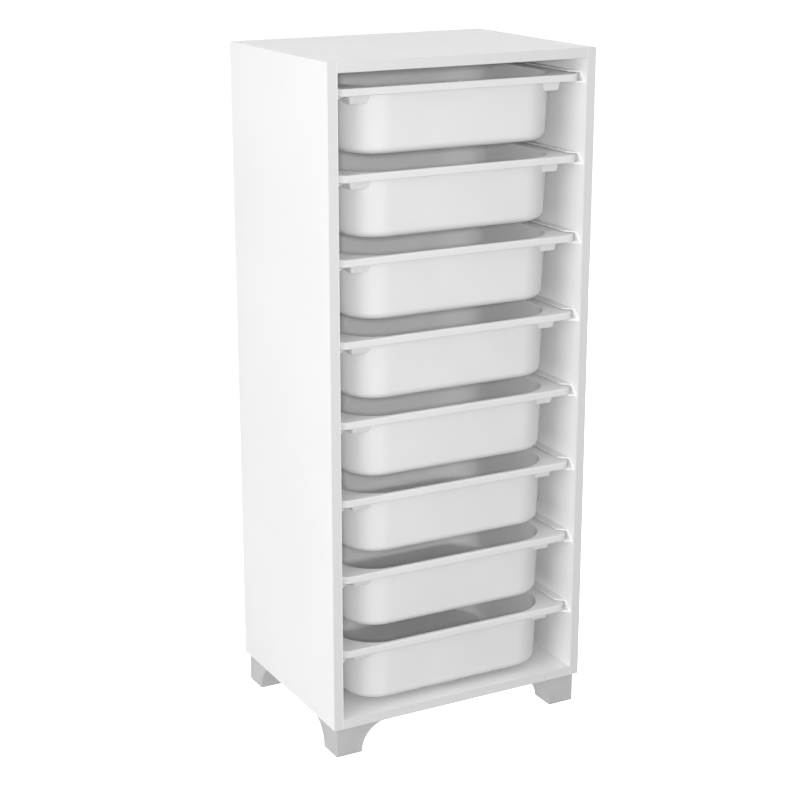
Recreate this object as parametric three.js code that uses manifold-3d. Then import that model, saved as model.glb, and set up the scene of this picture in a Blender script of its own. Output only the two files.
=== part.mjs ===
// Tray storage unit: a board cabinet on four feet, with lift-out trays that slide on side runners.
// Millimetres, +Z up, front towards -Y, origin on the floor under the middle of the cabinet.

import * as THREE from 'three';
import { mergeVertices } from 'three/addons/utils/BufferGeometryUtils.js';
import Module from 'manifold-3d';

const wasm = await Module();
wasm.setup();

// Cabinet
const WIDTH = 460;
const DEPTH = 350;
const CARCASS_HEIGHT = 1050;
const BOARD = 16;
const BOARD_EDGE = 0.6;

// Back panel, held in a groove
const BACK_THICKNESS = 3;
const BACK_INSET = 10;
const BACK_GROOVE = 8;

// Trays
const TRAY_COUNT = 8;
const TOP_GAP = 24;
const FINGER_GAP = 24;
const BASE_GAP = 10;
const RIM_SETBACK = 8;
const REAR_ROOM = 29;
const RIM_RADIUS = 16;
const RIM_SKIRT = 11.5;
const RIM_EDGE = 2;
const END_FLANGE = 30;
const SIDE_FLANGE = 9;
const TRAY_WALL = 2.2;
const MOUTH_RADIUS = 60;
const WALL_DRAFT = 5;
const BASE_RADIUS = 12;

// Guide lugs under the corners of a tray's rim
const LUG_LEG = 39;
const LUG_DROP = 14.5;
const LUG_THICKNESS = 3;
const LUG_BEND = 9;
const LUG_LEAN = 2.4;
const LUG_SETBACK = 12;

// Runners
const RUNNER_SETBACK = 2;
const RUNNER_WEB = 2;
const LOWER_LIP = 20;
const LOWER_LIP_THICKNESS = 2.5;
const UPPER_LIP = 15;
const UPPER_LIP_THICKNESS = 2;
const NOSE_SWEEP = 0.9;
const NOSE_RAKE = 0.85;
const STOP_THICKNESS = 3;
const PEG_RADIUS = 2.5;
const PEG_LENGTH = 8;
const PEG_INSET = 36;

// Feet
const FOOT_HEIGHT = 50;
const FOOT_TOP = 90;
const FOOT_BASE = 46;
const FOOT_ARCH = 48;
const FOOT_INSET = 6;
const FOOT_WALL = 4;
const FOOT_BOSS_RADIUS = 8;
const FOOT_BOSS_PLACE = 25;

// Foot screws
const SCREW_RADIUS = 2;
const SCREW_HEAD_RADIUS = 4.5;
const SCREW_HEAD_HEIGHT = 3;
const SCREW_CROWN_RADIUS = 3.6;
const SCREW_HEAD_DEPTH = 8;
const SCREW_BITE = 11;

// Cam locks, their bolts and the dowels that join the boards
const CAM_RADIUS = 7.5;
const CAM_HEIGHT = 12;
const CAM_CAP = 3;
const CAM_SLOT = 7.6;
const CAM_SLOT_PAST_CENTRE = 4.5;
const CAM_FROM_END = 24;
const CAM_INSET = 50;
const DRIVE_LENGTH = 9;
const DRIVE_WIDTH = 1.6;
const DRIVE_DEPTH = 1.5;
const BOLT_THREAD_RADIUS = 3;
const BOLT_SHANK_RADIUS = 2.4;
const BOLT_NECK_RADIUS = 1.6;
const BOLT_HEAD_RADIUS = 3;
const BOLT_HEAD_LENGTH = 3.5;
const BOLT_NECK_LENGTH = 3;
const BOLT_BITE = 11;
const DOWEL_RADIUS = 4;
const DOWEL_LENGTH = 30;
const DOWEL_BITE = 10;
const DOWEL_CHAMFER = 1;

// Clearances
const FIT = 0.3;
const SLIDE_FIT = 0.3;
const SLIDE_PLAY = 1.2;
const SIDE_PLAY = 2;
const LUG_PLAY = 7;
const STOP_PLAY = 1;
const CUT_PAST = 1;

// Facets
const CORNER_STEPS = 4;
const FILLET_STEPS = 3;
const EDGE_STEPS = 1;
const ROUND_SIDES = 10;
const PEG_SIDES = 6;
const SCREW_SIDES = 8;
const ARCH_STEPS = 7;
const WELD = 1e-4;

// Derived places
const INNER_WIDTH = WIDTH - 2 * BOARD;
const FRONT = -DEPTH / 2;
const REAR = DEPTH / 2;
const CARCASS_BASE = FOOT_HEIGHT;
const CARCASS_TOP = FOOT_HEIGHT + CARCASS_HEIGHT;
const INNER_BASE = CARCASS_BASE + BOARD;
const INNER_TOP = CARCASS_TOP - BOARD;
const TRAY_ROOM = INNER_TOP - INNER_BASE - TOP_GAP - BASE_GAP + FINGER_GAP;
const TRAY_PITCH = TRAY_ROOM / TRAY_COUNT;
const TRAY_HEIGHT = TRAY_PITCH - FINGER_GAP;
const RIM_LENGTH = INNER_WIDTH - 2 * (RUNNER_WEB + SIDE_PLAY);
const RIM_WIDTH = DEPTH - BACK_INSET - BACK_THICKNESS - RIM_SETBACK - REAR_ROOM;
const TRAY_MIDDLE = FRONT + RIM_SETBACK + RIM_WIDTH / 2;
const LUG_SPAN = INNER_WIDTH - 2 * (LOWER_LIP + LUG_PLAY);
const LUG_REACH = RIM_WIDTH - 2 * LUG_SETBACK;
const RUNNER_HEIGHT = SLIDE_FIT + RIM_SKIRT + SLIDE_PLAY;
const RUNNER_LENGTH = RIM_SETBACK - RUNNER_SETBACK + RIM_WIDTH + STOP_PLAY + STOP_THICKNESS;
const FOOT_ARCH_CENTRE = FOOT_BASE + FOOT_ARCH;
const BOLT_LENGTH = CAM_FROM_END;
const CAM_PLACES = [['front', FRONT + CAM_INSET], ['rear', REAR - CAM_INSET]];
const SIDES = [['left', -1], ['right', 1]];

const rimTop = (level) => INNER_TOP - TOP_GAP - level * TRAY_PITCH;
const runnerLevel = (level) => rimTop(level) - RIM_SKIRT - SLIDE_FIT;

// Materials, one for each mesh
const finish = (color, roughness, metalness = 0) => (
  new THREE.MeshStandardMaterial({ color, roughness, metalness })
);
const whiteBoard = () => finish(0xf4f4f2, 0.5);
const whiteBack = () => finish(0xededea, 0.7);
const trayPlastic = () => finish(0xf1f1f0, 0.4);
const runnerPlastic = () => finish(0xf2f2f0, 0.45);
const greyPlastic = () => finish(0xc4c5c6, 0.5);
const zinc = () => finish(0xb9bcc0, 0.35, 1);
const beech = () => finish(0xd8b98a, 0.7);

// A closed geometry as a solid that can be joined and cut
function solid(geometry) {
  const bare = geometry.clone();
  bare.deleteAttribute('normal');
  bare.deleteAttribute('uv');
  const merged = mergeVertices(bare, WELD);
  return new wasm.Manifold(new wasm.Mesh({
    numProp: 3,
    vertProperties: new Float32Array(merged.attributes.position.array),
    triVerts: new Uint32Array(merged.index.array),
  }));
}

// A solid as a geometry for a mesh
function geometryOf(body) {
  const mesh = body.getMesh();
  const geometry = new THREE.BufferGeometry();
  geometry.setAttribute('position', new THREE.BufferAttribute(mesh.vertProperties, 3));
  geometry.setIndex(new THREE.BufferAttribute(mesh.triVerts, 1));
  geometry.computeVertexNormals();
  return geometry;
}

const joined = (bodies) => bodies.reduce((whole, body) => whole.add(body));
const cutBy = (body, tools) => tools.reduce((rest, tool) => rest.subtract(tool), body);

// A box between two corners
function box([x0, y0, z0], [x1, y1, z1]) {
  const geometry = new THREE.BoxGeometry(x1 - x0, y1 - y0, z1 - z0);
  return solid(geometry.translate((x0 + x1) / 2, (y0 + y1) / 2, (z0 + z1) / 2));
}

// A round bar along X, Y or Z from a point, its length may be negative
function bar(axis, radius, length, [x, y, z], sides = ROUND_SIDES) {
  const geometry = new THREE.CylinderGeometry(radius, radius, Math.abs(length), sides);
  geometry.translate(0, length / 2, 0);
  if (axis === 'x') geometry.rotateZ(-Math.PI / 2);
  if (axis === 'z') geometry.rotateX(Math.PI / 2);
  return solid(geometry.translate(x, y, z));
}

// A board with slightly eased edges between two corners
function board([x0, y0, z0], [x1, y1, z1]) {
  const outline = new THREE.Shape();
  outline.moveTo(x0 + BOARD_EDGE, y0 + BOARD_EDGE);
  outline.lineTo(x1 - BOARD_EDGE, y0 + BOARD_EDGE);
  outline.lineTo(x1 - BOARD_EDGE, y1 - BOARD_EDGE);
  outline.lineTo(x0 + BOARD_EDGE, y1 - BOARD_EDGE);
  const geometry = new THREE.ExtrudeGeometry(outline, {
    depth: z1 - z0 - 2 * BOARD_EDGE,
    bevelEnabled: true,
    bevelThickness: BOARD_EDGE,
    bevelSize: BOARD_EDGE,
    bevelSegments: 1,
  });
  return solid(geometry.translate(0, 0, z0 + BOARD_EDGE));
}

// The groove that holds the back panel, larger than the panel by the fit
function backSpace(fit) {
  const across = INNER_WIDTH / 2 + BACK_GROOVE - FIT + fit;
  const rear = REAR - BACK_INSET;
  return box(
    [-across, rear - BACK_THICKNESS - fit, INNER_BASE - BACK_GROOVE + FIT - fit],
    [across, rear + fit, INNER_TOP + BACK_GROOVE - FIT + fit],
  );
}

// Middle heights of the two boards that lie between the sides
const SHELVES = [['top', CARCASS_TOP - BOARD / 2], ['bottom', CARCASS_BASE + BOARD / 2]];

// A side panel with holes for runner pegs, bolts and dowels
function sidePanel(side) {
  const inner = side * INNER_WIDTH / 2;
  const outer = side * WIDTH / 2;
  const tools = [backSpace(FIT)];
  for (let level = 0; level < TRAY_COUNT; level += 1) {
    for (const y of pegPlaces()) {
      const centre = [inner, FRONT + RUNNER_SETBACK + y, runnerLevel(level) + RUNNER_HEIGHT / 2];
      tools.push(bar('x', PEG_RADIUS + FIT, side * (PEG_LENGTH + FIT), centre, PEG_SIDES));
    }
  }
  for (const [, z] of SHELVES) {
    for (const [, y] of CAM_PLACES) {
      tools.push(bar('x', BOLT_THREAD_RADIUS + FIT, side * (BOLT_BITE + FIT), [inner, y, z]));
    }
    tools.push(bar('x', DOWEL_RADIUS + FIT, side * (DOWEL_BITE + FIT), [inner, 0, z]));
  }
  const low = [Math.min(inner, outer), FRONT, CARCASS_BASE];
  const high = [Math.max(inner, outer), REAR, CARCASS_TOP];
  return cutBy(board(low, high), tools);
}

// Bores that a lying board needs at both ends for cams, bolts and a dowel
function shelfBores(middle) {
  const tools = [];
  const low = middle - BOARD / 2;
  for (const [, side] of SIDES) {
    const end = side * INNER_WIDTH / 2;
    for (const [, y] of CAM_PLACES) {
      tools.push(bar('z', CAM_RADIUS + FIT, CAM_HEIGHT + FIT, [end - side * CAM_FROM_END, y, low]));
      tools.push(bar('x', BOLT_HEAD_RADIUS + FIT, -side * CAM_FROM_END, [end, y, middle]));
    }
    tools.push(bar('x', DOWEL_RADIUS + FIT, -side * (DOWEL_LENGTH - DOWEL_BITE + FIT), [end, 0, middle]));
  }
  return tools;
}

function lyingBoard(middle, extraTools) {
  const blank = board(
    [-INNER_WIDTH / 2, FRONT, middle - BOARD / 2],
    [INNER_WIDTH / 2, REAR, middle + BOARD / 2],
  );
  return cutBy(blank, [backSpace(FIT), ...shelfBores(middle), ...extraTools]);
}

const topPanel = () => lyingBoard(CARCASS_TOP - BOARD / 2, []);

function bottomPanel() {
  const pilots = footPlaces().map(({ x, y }) => (
    bar('z', SCREW_RADIUS + FIT, SCREW_BITE + FIT, [x, y, CARCASS_BASE], SCREW_SIDES)
  ));
  return lyingBoard(CARCASS_BASE + BOARD / 2, pilots);
}

// A ring of points round a rectangle with round corners, counted from the +X side
function roundedRing({ length, width, radius, z }) {
  const points = [];
  for (let corner = 0; corner < 4; corner += 1) {
    const signX = corner === 0 || corner === 3 ? 1 : -1;
    const signY = corner < 2 ? 1 : -1;
    for (let step = 0; step <= CORNER_STEPS; step += 1) {
      const angle = (corner + step / CORNER_STEPS) * Math.PI / 2;
      points.push([
        signX * (length / 2 - radius) + radius * Math.cos(angle),
        signY * (width / 2 - radius) + radius * Math.sin(angle),
        z,
      ]);
    }
  }
  return points;
}

// A closed skin through a stack of rings, with its first and last ring filled
function loft(rings) {
  const count = 4 * (CORNER_STEPS + 1);
  const index = [];
  rings.slice(1).forEach((_, row) => {
    for (let i = 0; i < count; i += 1) {
      const next = (i + 1) % count;
      const [a, b] = [row * count + i, row * count + next];
      const [c, d] = [a + count, b + count];
      index.push(a, b, d, a, d, c);
    }
  });
  const last = (rings.length - 1) * count;
  for (let i = 1; i < count - 1; i += 1) {
    index.push(0, i + 1, i);
    index.push(last, last + i, last + i + 1);
  }
  const geometry = new THREE.BufferGeometry();
  const positions = rings.flatMap(roundedRing).flat();
  geometry.setAttribute('position', new THREE.Float32BufferAttribute(positions, 3));
  geometry.setIndex(index);
  return solid(geometry);
}

// The tray's wall at a height, drawn in by the draft and by a further inset
function wallRing(z, inset, thickness) {
  const taper = WALL_DRAFT * (TRAY_HEIGHT - z) / TRAY_HEIGHT + inset - thickness;
  return {
    length: RIM_LENGTH - 2 * END_FLANGE - 2 * taper,
    width: RIM_WIDTH - 2 * SIDE_FLANGE - 2 * taper,
    radius: MOUTH_RADIUS - taper,
    z,
  };
}

function rimRing(z, inset) {
  return {
    length: RIM_LENGTH - 2 * inset,
    width: RIM_WIDTH - 2 * inset,
    radius: RIM_RADIUS - inset,
    z,
  };
}

// Angles of a quarter round, in equal steps
const quarter = (steps) => Array.from({ length: steps + 1 }, (_, i) => (i / steps) * Math.PI / 2);

// The round between a tray's floor and wall, on a skin that lies some way into the material
function baseRound(inward) {
  const radius = BASE_RADIUS - inward;
  return quarter(FILLET_STEPS).map((angle) => (
    wallRing(inward + radius * (1 - Math.cos(angle)), radius * (1 - Math.sin(angle)), TRAY_WALL - inward)
  ));
}

// The moulded tray: bowl with drafted walls, wide flange and turned-down rim
function trayShell() {
  const rimEdge = quarter(EDGE_STEPS).map((angle) => (
    rimRing(TRAY_HEIGHT - RIM_EDGE * (1 - Math.sin(angle)), RIM_EDGE * (1 - Math.cos(angle)))
  ));
  const mouthEdge = quarter(EDGE_STEPS).map((angle) => (
    wallRing(TRAY_HEIGHT - RIM_EDGE * (1 - Math.cos(angle)), -RIM_EDGE * (1 - Math.sin(angle)), 0)
  ));
  return loft([
    ...baseRound(0),
    wallRing(TRAY_HEIGHT - TRAY_WALL, 0, TRAY_WALL),
    rimRing(TRAY_HEIGHT - TRAY_WALL, TRAY_WALL),
    rimRing(TRAY_HEIGHT - RIM_SKIRT, TRAY_WALL),
    rimRing(TRAY_HEIGHT - RIM_SKIRT, 0),
    ...rimEdge,
    ...mouthEdge,
    ...baseRound(TRAY_WALL).reverse(),
  ]);
}

// A ring round all four guide lugs at a height, drawn in by their lean and by a further inset
function lugRing(z, inset) {
  const drawn = LUG_LEAN * (TRAY_HEIGHT - z) / (RIM_SKIRT + LUG_DROP) + inset;
  return {
    length: LUG_SPAN - 2 * drawn,
    width: LUG_REACH - 2 * drawn,
    radius: LUG_BEND - drawn,
    z,
  };
}

// The guide lugs: the four corners of a leaning collar, each with two legs that run inwards
function guideLugs() {
  const low = TRAY_HEIGHT - RIM_SKIRT - LUG_DROP;
  const high = TRAY_HEIGHT - TRAY_WALL / 2;
  const inner = [lugRing(low - CUT_PAST, LUG_THICKNESS), lugRing(high + CUT_PAST, LUG_THICKNESS)];
  const across = LUG_SPAN / 2 - LUG_LEG;
  const along = LUG_REACH / 2 - LUG_LEG;
  return cutBy(loft([lugRing(low, 0), lugRing(high, 0)]), [
    loft(inner),
    box([-across, -LUG_REACH, 0], [across, LUG_REACH, TRAY_HEIGHT]),
    box([-LUG_SPAN, -along, 0], [LUG_SPAN, along, TRAY_HEIGHT]),
  ]);
}

// A tray with its lugs, which stop inside the bowl's wall
function tray() {
  const inWall = TRAY_WALL / 2;
  const bowl = loft([...baseRound(inWall), wallRing(TRAY_HEIGHT, 0, TRAY_WALL - inWall)]);
  return trayShell().add(guideLugs().subtract(bowl));
}

// Peg places along a runner, from its front end
function pegPlaces() {
  return [PEG_INSET, RUNNER_LENGTH - PEG_INSET];
}

// A runner on the inner face of a side: a channel whose lower lip carries the rim, with a slanting nose
// that runs back inwards and upwards. Its origin is at the front end, on the board and level with the
// lower lip's upper face.
function runner(side) {
  const inward = -side;
  const section = new THREE.Shape();
  section.moveTo(0, -LOWER_LIP_THICKNESS);
  section.lineTo(inward * LOWER_LIP, -LOWER_LIP_THICKNESS);
  section.lineTo(inward * LOWER_LIP, 0);
  section.lineTo(inward * RUNNER_WEB, 0);
  section.lineTo(inward * RUNNER_WEB, RUNNER_HEIGHT);
  section.lineTo(inward * UPPER_LIP, RUNNER_HEIGHT);
  section.lineTo(inward * UPPER_LIP, RUNNER_HEIGHT + UPPER_LIP_THICKNESS);
  section.lineTo(0, RUNNER_HEIGHT + UPPER_LIP_THICKNESS);
  const channel = new THREE.ExtrudeGeometry(section, { depth: RUNNER_LENGTH, bevelEnabled: false });
  channel.rotateX(Math.PI / 2).translate(0, RUNNER_LENGTH, 0);

  const plan = new THREE.Shape();
  plan.moveTo(0, 0);
  plan.lineTo(inward * LOWER_LIP, NOSE_SWEEP * LOWER_LIP);
  plan.lineTo(inward * LOWER_LIP, RUNNER_LENGTH);
  plan.lineTo(0, RUNNER_LENGTH);
  const height = LOWER_LIP_THICKNESS + RUNNER_HEIGHT + UPPER_LIP_THICKNESS;
  const envelope = new THREE.ExtrudeGeometry(plan, { depth: height, bevelEnabled: false });
  envelope.applyMatrix4(new THREE.Matrix4().makeShear(0, 0, 0, 0, 0, NOSE_RAKE));
  envelope.translate(0, 0, -LOWER_LIP_THICKNESS);

  const stopEnds = [0, inward * LOWER_LIP];
  const stop = box(
    [Math.min(...stopEnds), RUNNER_LENGTH - STOP_THICKNESS, -LOWER_LIP_THICKNESS],
    [Math.max(...stopEnds), RUNNER_LENGTH, RUNNER_HEIGHT + UPPER_LIP_THICKNESS],
  );
  const pegs = pegPlaces().map((y) => {
    const root = [inward * RUNNER_WEB, y, RUNNER_HEIGHT / 2];
    return bar('x', PEG_RADIUS, side * (RUNNER_WEB + PEG_LENGTH), root, PEG_SIDES);
  });
  return joined([solid(channel).intersect(solid(envelope)), stop, ...pegs]);
}

// Side view of a foot: upright outer face, and an inner face that sweeps out in an arch to a thin tip
function footOutline(wall, floor, top) {
  const outline = new THREE.Shape();
  const radius = FOOT_ARCH + wall;
  const reach = FOOT_TOP - wall;
  const rise = Math.min(top, Math.sqrt(radius ** 2 - (FOOT_ARCH_CENTRE - reach) ** 2));
  const start = Math.PI - Math.asin(floor / radius);
  const end = Math.PI - Math.asin(rise / radius);
  outline.moveTo(wall, top);
  outline.lineTo(wall, floor);
  outline.absarc(FOOT_ARCH_CENTRE, 0, radius, start, end, true);
  if (rise < top) outline.lineTo(reach, top);
  return outline;
}

// The outline carried along X and along Y, and what the two have in common
function footBlock(wall, floor, top) {
  const settings = { depth: FOOT_TOP, bevelEnabled: false, curveSegments: ARCH_STEPS };
  const alongY = new THREE.ExtrudeGeometry(footOutline(wall, floor, top), settings);
  alongY.rotateX(Math.PI / 2).translate(0, FOOT_TOP, 0);
  const alongX = new THREE.ExtrudeGeometry(footOutline(wall, floor, top), settings);
  alongX.rotateX(Math.PI / 2).rotateZ(Math.PI / 2);
  return solid(alongY).intersect(solid(alongX));
}

// A hollow foot, open at the top, with a boss for its screw. Its origin is its outer lower corner.
function foot() {
  const cavity = footBlock(FOOT_WALL, FOOT_WALL, FOOT_HEIGHT + CUT_PAST);
  const place = [FOOT_BOSS_PLACE, FOOT_BOSS_PLACE, 0];
  const boss = bar('z', FOOT_BOSS_RADIUS, FOOT_HEIGHT, place);
  const well = bar('z', SCREW_HEAD_RADIUS + FIT, SCREW_HEAD_DEPTH, place);
  const bore = bar('z', SCREW_RADIUS + FIT, FOOT_HEIGHT, place, SCREW_SIDES);
  const shell = footBlock(0, 0, FOOT_HEIGHT).subtract(cavity);
  return cutBy(shell.add(boss), [well, bore]);
}

// Each foot is the same moulding, turned by quarter turns so that its outer corner points outwards
function footPlaces() {
  const x = WIDTH / 2 - FOOT_INSET;
  const y = DEPTH / 2 - FOOT_INSET;
  const bossX = x - FOOT_BOSS_PLACE;
  const bossY = y - FOOT_BOSS_PLACE;
  return [
    { name: 'front_left', corner: [-x, -y], turn: 0, x: -bossX, y: -bossY },
    { name: 'front_right', corner: [x, -y], turn: Math.PI / 2, x: bossX, y: -bossY },
    { name: 'rear_right', corner: [x, y], turn: Math.PI, x: bossX, y: bossY },
    { name: 'rear_left', corner: [-x, y], turn: -Math.PI / 2, x: -bossX, y: bossY },
  ];
}

// A pan-head screw that runs up through the foot's boss into the bottom panel
function footScrew() {
  const seat = SCREW_HEAD_DEPTH - FIT;
  const tip = FOOT_HEIGHT + SCREW_BITE;
  const profile = [
    new THREE.Vector2(0, seat - SCREW_HEAD_HEIGHT),
    new THREE.Vector2(SCREW_CROWN_RADIUS, seat - SCREW_HEAD_HEIGHT),
    new THREE.Vector2(SCREW_HEAD_RADIUS, seat - SCREW_HEAD_HEIGHT / 2),
    new THREE.Vector2(SCREW_HEAD_RADIUS, seat),
    new THREE.Vector2(SCREW_RADIUS, seat),
    new THREE.Vector2(SCREW_RADIUS, tip - 2 * SCREW_RADIUS),
    new THREE.Vector2(0, tip),
  ];
  const geometry = new THREE.LatheGeometry(profile, SCREW_SIDES);
  const slot = box(
    [-SCREW_HEAD_RADIUS, -DRIVE_WIDTH / 2, 0],
    [SCREW_HEAD_RADIUS, DRIVE_WIDTH / 2, seat - SCREW_HEAD_HEIGHT + DRIVE_DEPTH],
  );
  return solid(geometry.rotateX(Math.PI / 2)).subtract(slot);
}

// A cam: a disc whose slot, open towards -X, takes the head of a bolt. Its origin is its lower face.
function cam() {
  const disc = bar('z', CAM_RADIUS, CAM_HEIGHT, [0, 0, 0]);
  const slot = box(
    [-CAM_RADIUS, -CAM_SLOT / 2, CAM_CAP],
    [CAM_SLOT_PAST_CENTRE, CAM_SLOT / 2, CAM_HEIGHT],
  );
  const driveLong = box(
    [-DRIVE_LENGTH / 2, -DRIVE_WIDTH / 2, 0],
    [DRIVE_LENGTH / 2, DRIVE_WIDTH / 2, DRIVE_DEPTH],
  );
  const driveCross = box(
    [-DRIVE_WIDTH / 2, -DRIVE_LENGTH / 2, 0],
    [DRIVE_WIDTH / 2, DRIVE_LENGTH / 2, DRIVE_DEPTH],
  );
  return cutBy(disc, [slot, driveLong, driveCross]);
}

// A cam bolt along +X: thread in the side panel, then shank, neck and head
function camBolt() {
  const head = BOLT_LENGTH - BOLT_HEAD_LENGTH;
  const neck = head - BOLT_NECK_LENGTH;
  const profile = [
    new THREE.Vector2(0, -BOLT_BITE),
    new THREE.Vector2(BOLT_THREAD_RADIUS, -BOLT_BITE),
    new THREE.Vector2(BOLT_THREAD_RADIUS, 0),
    new THREE.Vector2(BOLT_SHANK_RADIUS, 0),
    new THREE.Vector2(BOLT_SHANK_RADIUS, neck),
    new THREE.Vector2(BOLT_NECK_RADIUS, neck),
    new THREE.Vector2(BOLT_NECK_RADIUS, head),
    new THREE.Vector2(BOLT_HEAD_RADIUS, head),
    new THREE.Vector2(BOLT_HEAD_RADIUS, BOLT_LENGTH),
    new THREE.Vector2(0, BOLT_LENGTH),
  ];
  const geometry = new THREE.LatheGeometry(profile, PEG_SIDES);
  return solid(geometry.rotateZ(-Math.PI / 2));
}

// A wooden dowel along +X, with chamfered ends
function dowel() {
  const half = DOWEL_LENGTH / 2;
  const profile = [
    new THREE.Vector2(0, -half),
    new THREE.Vector2(DOWEL_RADIUS - DOWEL_CHAMFER, -half),
    new THREE.Vector2(DOWEL_RADIUS, DOWEL_CHAMFER - half),
    new THREE.Vector2(DOWEL_RADIUS, half - DOWEL_CHAMFER),
    new THREE.Vector2(DOWEL_RADIUS - DOWEL_CHAMFER, half),
    new THREE.Vector2(0, half),
  ];
  const geometry = new THREE.LatheGeometry(profile, PEG_SIDES);
  return solid(geometry.rotateZ(-Math.PI / 2));
}

const unit = new THREE.Group();

function addPiece(parent, name, geometry, material, [x, y, z] = [0, 0, 0], turn = 0) {
  const mesh = new THREE.Mesh(geometry, material);
  mesh.name = name;
  mesh.position.set(x, y, z);
  mesh.rotation.z = turn;
  parent.add(mesh);
}

function addCarcass() {
  const carcass = new THREE.Group();
  for (const [name, side] of SIDES) {
    addPiece(carcass, `${name}_side_panel`, geometryOf(sidePanel(side)), whiteBoard());
  }
  addPiece(carcass, 'top_panel', geometryOf(topPanel()), whiteBoard());
  addPiece(carcass, 'bottom_panel', geometryOf(bottomPanel()), whiteBoard());
  addPiece(carcass, 'back_panel', geometryOf(backSpace(0)), whiteBack());
  unit.add(carcass);
}

function addRunners() {
  const runners = new THREE.Group();
  for (const [name, side] of SIDES) {
    const geometry = geometryOf(runner(side));
    for (let level = 0; level < TRAY_COUNT; level += 1) {
      const place = [side * INNER_WIDTH / 2, FRONT + RUNNER_SETBACK, runnerLevel(level)];
      addPiece(runners, `${name}_runner_${level + 1}`, geometry, runnerPlastic(), place);
    }
  }
  unit.add(runners);
}

function addTrays() {
  const geometry = geometryOf(tray());
  for (let level = 0; level < TRAY_COUNT; level += 1) {
    const place = [0, TRAY_MIDDLE, rimTop(level) - TRAY_HEIGHT];
    addPiece(unit, `tray_${level + 1}`, geometry, trayPlastic(), place);
  }
}

function addFeet() {
  const feet = new THREE.Group();
  const footGeometry = geometryOf(foot());
  const screwGeometry = geometryOf(footScrew());
  for (const { name, corner: [x, y], turn, x: screwX, y: screwY } of footPlaces()) {
    addPiece(feet, `foot_${name}`, footGeometry, greyPlastic(), [x, y, 0], turn);
    addPiece(feet, `foot_screw_${name}`, screwGeometry, zinc(), [screwX, screwY, 0]);
  }
  unit.add(feet);
}

function addBoardFixings() {
  const fixings = new THREE.Group();
  const camGeometry = geometryOf(cam());
  const boltGeometry = geometryOf(camBolt());
  const dowelGeometry = geometryOf(dowel());
  for (const [shelf, z] of SHELVES) {
    for (const [name, side] of SIDES) {
      const end = side * INNER_WIDTH / 2;
      const turn = side < 0 ? 0 : Math.PI;
      for (const [place, y] of CAM_PLACES) {
        const camPlace = [end - side * CAM_FROM_END, y, z - BOARD / 2];
        addPiece(fixings, `cam_${shelf}_${name}_${place}`, camGeometry, zinc(), camPlace, turn);
        addPiece(fixings, `cam_bolt_${shelf}_${name}_${place}`, boltGeometry, zinc(), [end, y, z], turn);
      }
      const dowelPlace = [end - side * (DOWEL_LENGTH / 2 - DOWEL_BITE), 0, z];
      addPiece(fixings, `dowel_${shelf}_${name}`, dowelGeometry, beech(), dowelPlace, turn);
    }
  }
  unit.add(fixings);
}

addCarcass();
addRunners();
addTrays();
addFeet();
addBoardFixings();

export default unit;
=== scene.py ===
"""Tray storage unit: moulded trays and feet, finishes of boards and fixings, and the studio."""

import math

import bpy
import numpy as np
from bpy.props import (
    FloatProperty, FloatVectorProperty, IntProperty, PointerProperty, StringProperty,
)
from mathutils import Euler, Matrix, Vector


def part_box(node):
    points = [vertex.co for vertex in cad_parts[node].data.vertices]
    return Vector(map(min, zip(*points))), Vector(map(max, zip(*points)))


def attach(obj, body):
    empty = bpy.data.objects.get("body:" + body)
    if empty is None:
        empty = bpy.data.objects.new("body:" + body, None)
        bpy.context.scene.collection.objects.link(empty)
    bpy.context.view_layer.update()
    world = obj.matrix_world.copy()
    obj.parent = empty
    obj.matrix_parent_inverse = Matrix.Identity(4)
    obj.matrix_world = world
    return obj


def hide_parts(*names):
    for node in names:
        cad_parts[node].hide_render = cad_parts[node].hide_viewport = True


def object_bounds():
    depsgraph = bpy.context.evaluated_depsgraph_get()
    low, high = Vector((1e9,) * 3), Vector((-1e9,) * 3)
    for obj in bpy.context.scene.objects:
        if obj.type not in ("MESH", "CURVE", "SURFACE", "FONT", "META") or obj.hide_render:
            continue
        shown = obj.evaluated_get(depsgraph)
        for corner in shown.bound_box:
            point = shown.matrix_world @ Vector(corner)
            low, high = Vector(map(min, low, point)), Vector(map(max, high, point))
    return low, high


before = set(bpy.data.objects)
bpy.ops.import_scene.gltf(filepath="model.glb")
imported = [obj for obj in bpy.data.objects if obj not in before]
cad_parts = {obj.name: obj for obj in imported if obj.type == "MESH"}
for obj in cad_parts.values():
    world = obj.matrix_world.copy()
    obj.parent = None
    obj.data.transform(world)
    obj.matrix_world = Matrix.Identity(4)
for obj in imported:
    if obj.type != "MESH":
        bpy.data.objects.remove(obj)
CAD_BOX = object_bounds()

bl_info = {
    "name": "Tray storage unit",
    "version": (1, 0, 0),
    "blender": (4, 5, 0),
    "location": "View3D > Sidebar > Tray unit",
    "description": "Builds the trays and feet of a tray unit, and finishes its boards and fixings",
    "category": "Object",
}

MM = 0.001

# Pieces of the frame
TRAYS = sorted(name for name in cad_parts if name.startswith("tray_"))
FEET = sorted(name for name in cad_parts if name.startswith("foot_") and "screw" not in name)
RUNNERS = sorted(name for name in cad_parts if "_runner_" in name)
METAL = sorted(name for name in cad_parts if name.startswith("cam_") or "screw" in name)
DOWELS = sorted(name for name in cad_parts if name.startswith("dowel_"))
BOARDS = ("left_side_panel", "right_side_panel", "top_panel", "bottom_panel")

# Planes of the boards' front edges and of the right side's inner face
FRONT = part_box("left_side_panel")[0][1]
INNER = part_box("right_side_panel")[0][0]

# Signs of the four corners, counter-clockwise
CORNERS = ((1, 1), (-1, 1), (-1, -1), (1, -1))

# Points on a straight side: how far the even ones spread, and one close to each corner
SIDE_SPREAD, SIDE_END = 0.9, 0.985

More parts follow.
